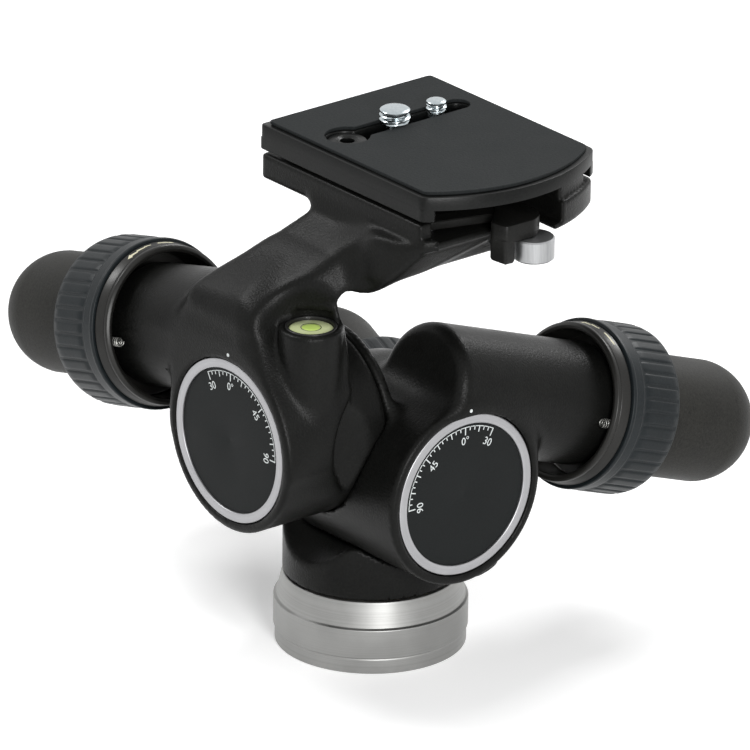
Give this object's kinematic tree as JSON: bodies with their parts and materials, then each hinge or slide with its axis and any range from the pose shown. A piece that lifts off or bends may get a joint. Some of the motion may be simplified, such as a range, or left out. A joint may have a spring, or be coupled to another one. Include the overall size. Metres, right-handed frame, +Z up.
{
  "type": "geared tripod head",
  "caption": "Geared camera support head: pan base, two stacked tilt axes with dials, ribbed release collars and domed knobs, level, and clamp plate.",
  "frame": {"origin": "centre of the base's lower face, at the mouth of the tripod thread", "axes": "+Z up along the pan axis; +X along the lower tilt axis, out of its dial; the upper dial faces -Y"},
  "size_m": [0.1873, 0.1875, 0.1698],
  "materials": {
    "base_aluminium": "satin turned",
    "bronze": "machined",
    "casting_black": "black powder coat, fine texture",
    "collar_metal": "black anodised",
    "collar_rubber": "matt",
    "dial_charcoal": "matt, white scale",
    "knob_rubber": "matt, fine speckle",
    "level_fluid": "clear yellow-green",
    "moulded_black": "matt",
    "pad_rubber": "fine grain",
    "plate_black": "black anodised, satin",
    "satin_aluminium": "satin",
    "steel": "machined",
    "zinc_steel": "zinc plated"
  },
  "bodies": {
    "base": {"base_cup": "base_aluminium", "tripod_thread_insert": "steel", "pan_spindle": "steel", "spindle_bolts": "steel", "pan_bearing": "steel", "pan_worm_wheel": "bronze"},
    "pan": {"pan_casting": "casting_black", "lower_tilt_shaft": "steel", "lower_shaft_screw": "steel", "lower_worm_wheel": "bronze", "lower_dial_ring": "satin_aluminium", "lower_dial_face": "dial_charcoal", "pan_release_spring": "steel"},
    "middle": {"middle_casting": "casting_black", "lower_bushes": "bronze", "upper_tilt_shaft": "steel", "upper_shaft_screw": "steel", "upper_worm_wheel": "bronze", "upper_dial_ring": "satin_aluminium", "upper_dial_face": "dial_charcoal", "lower_release_spring": "steel"},
    "top": {"top_casting": "casting_black", "upper_bushes": "bronze", "level_cup": "moulded_black", "level_vial": "level_fluid", "lever_pin": "steel", "upper_release_spring": "steel"},
    "lever": {"lock_lever": "moulded_black"},
    "catch": {"safety_catch": "satin_aluminium"},
    "plate": {"plate": "plate_black", "plate_pad": "pad_rubber"},
    "washer_large": {"camera_washer_large": "zinc_steel"},
    "screw_large": {"camera_screw_large": "zinc_steel"},
    "washer_small": {"camera_washer_small": "zinc_steel"},
    "screw_small": {"camera_screw_small": "zinc_steel"},
    "pan_collar": {"pan_eccentric_sleeve": "satin_aluminium", "pan_bearings": "steel", "pan_release_collar": "collar_metal", "pan_collar_grip": "collar_rubber", "pan_collar_screws": "steel"},
    "pan_knob": {"pan_worm": "steel", "pan_knob_hub": "moulded_black", "pan_knob_grip": "knob_rubber"},
    "lower_collar": {"lower_eccentric_sleeve": "satin_aluminium", "lower_bearings": "steel", "lower_release_collar": "collar_metal", "lower_collar_grip": "collar_rubber", "lower_collar_screws": "steel"},
    "lower_knob": {"lower_worm": "steel", "lower_knob_hub": "moulded_black", "lower_knob_grip": "knob_rubber"},
    "upper_collar": {"upper_eccentric_sleeve": "satin_aluminium", "upper_bearings": "steel", "upper_release_collar": "collar_metal", "upper_collar_grip": "collar_rubber", "upper_collar_screws": "steel"},
    "upper_knob": {"upper_worm": "steel", "upper_knob_hub": "moulded_black", "upper_knob_grip": "knob_rubber"}
  },
  "joints": [
    {"name": "pan_turn", "type": "hinge", "parent": "base", "child": "pan", "pos_m": [0, 0, 0.03], "axis": [0, 0, 1], "continuous": true},
    {"name": "lower_tilt", "type": "hinge", "parent": "pan", "child": "middle", "pos_m": [0, 0, 0.0622], "axis": [1, 0, 0], "range_deg": [-30, 30]},
    {"name": "upper_tilt", "type": "hinge", "parent": "middle", "child": "top", "pos_m": [0, 0, 0.0794], "axis": [0, 1, 0], "range_deg": [-30, 90]},
    {"name": "pan_release", "type": "hinge", "parent": "pan", "child": "pan_collar", "pos_m": [0.00738, 0.02753, 0.0325], "axis": [0.9531, -0.2554, -0.1625], "range_deg": [0, 60], "stiffness_Nm_per_rad": 0.12, "springref_deg": -20.05},
    {"name": "pan_knob_spin", "type": "hinge", "parent": "pan_collar", "child": "pan_knob", "pos_m": [0.00713, 0.0276, 0.03092], "axis": [-0.9531, 0.2554, 0.1625], "continuous": true},
    {"name": "lower_release", "type": "hinge", "parent": "middle", "child": "lower_collar", "pos_m": [0.0267, 0.00975, 0.08898], "axis": [0, -0.9397, 0.342], "range_deg": [0, 60], "stiffness_Nm_per_rad": 0.12, "springref_deg": -20.05},
    {"name": "lower_knob_spin", "type": "hinge", "parent": "lower_collar", "child": "lower_knob", "pos_m": [0.0283, 0.00975, 0.08898], "axis": [0, 0.9397, -0.342], "continuous": true},
    {"name": "upper_release", "type": "hinge", "parent": "top", "child": "upper_collar", "pos_m": [-0.00685, -0.038, 0.10706], "axis": [0.9707, 0, 0.2402], "range_deg": [0, 60], "stiffness_Nm_per_rad": 0.12, "springref_deg": -20.05},
    {"name": "upper_knob_spin", "type": "hinge", "parent": "upper_collar", "child": "upper_knob", "pos_m": [-0.00685, -0.0364, 0.10706], "axis": [-0.9707, 0, -0.2402], "continuous": true},
    {"name": "lever_open", "type": "hinge", "parent": "top", "child": "lever", "pos_m": [0.036, -0.008, 0.15], "axis": [0, 0, -1], "range_deg": [0, 35]},
    {"name": "catch_push", "type": "slide", "parent": "top", "child": "catch", "axis": [-1, 0, 0], "range_m": [0, 0.002], "stiffness_N_per_m": 400, "springref_m": -0.001},
    {"name": "plate_lift", "type": "slide", "parent": "top", "child": "plate", "axis": [0, 0, 1], "range_m": [0, 0.02]},
    {"name": "screw_large_slide", "type": "slide", "parent": "plate", "child": "washer_large", "axis": [0, -1, 0], "range_m": [0, 0.008]},
    {"name": "screw_large_turn", "type": "hinge", "parent": "washer_large", "child": "screw_large", "pos_m": [-0.005, 0.0115, 0.16], "axis": [0, 0, 1], "continuous": true},
    {"name": "screw_small_slide", "type": "slide", "parent": "plate", "child": "washer_small", "axis": [0, 1, 0], "range_m": [0, 0.007]},
    {"name": "screw_small_turn", "type": "hinge", "parent": "washer_small", "child": "screw_small", "pos_m": [-0.005, 0.0277, 0.16], "axis": [0, 0, 1], "continuous": true}
  ],
  "couplings": [
    {"joint": "pan_knob_spin", "follows": "pan_turn", "ratio": 40},
    {"joint": "lower_knob_spin", "follows": "lower_tilt", "ratio": -40},
    {"joint": "upper_knob_spin", "follows": "upper_tilt", "ratio": -40}
  ]
}
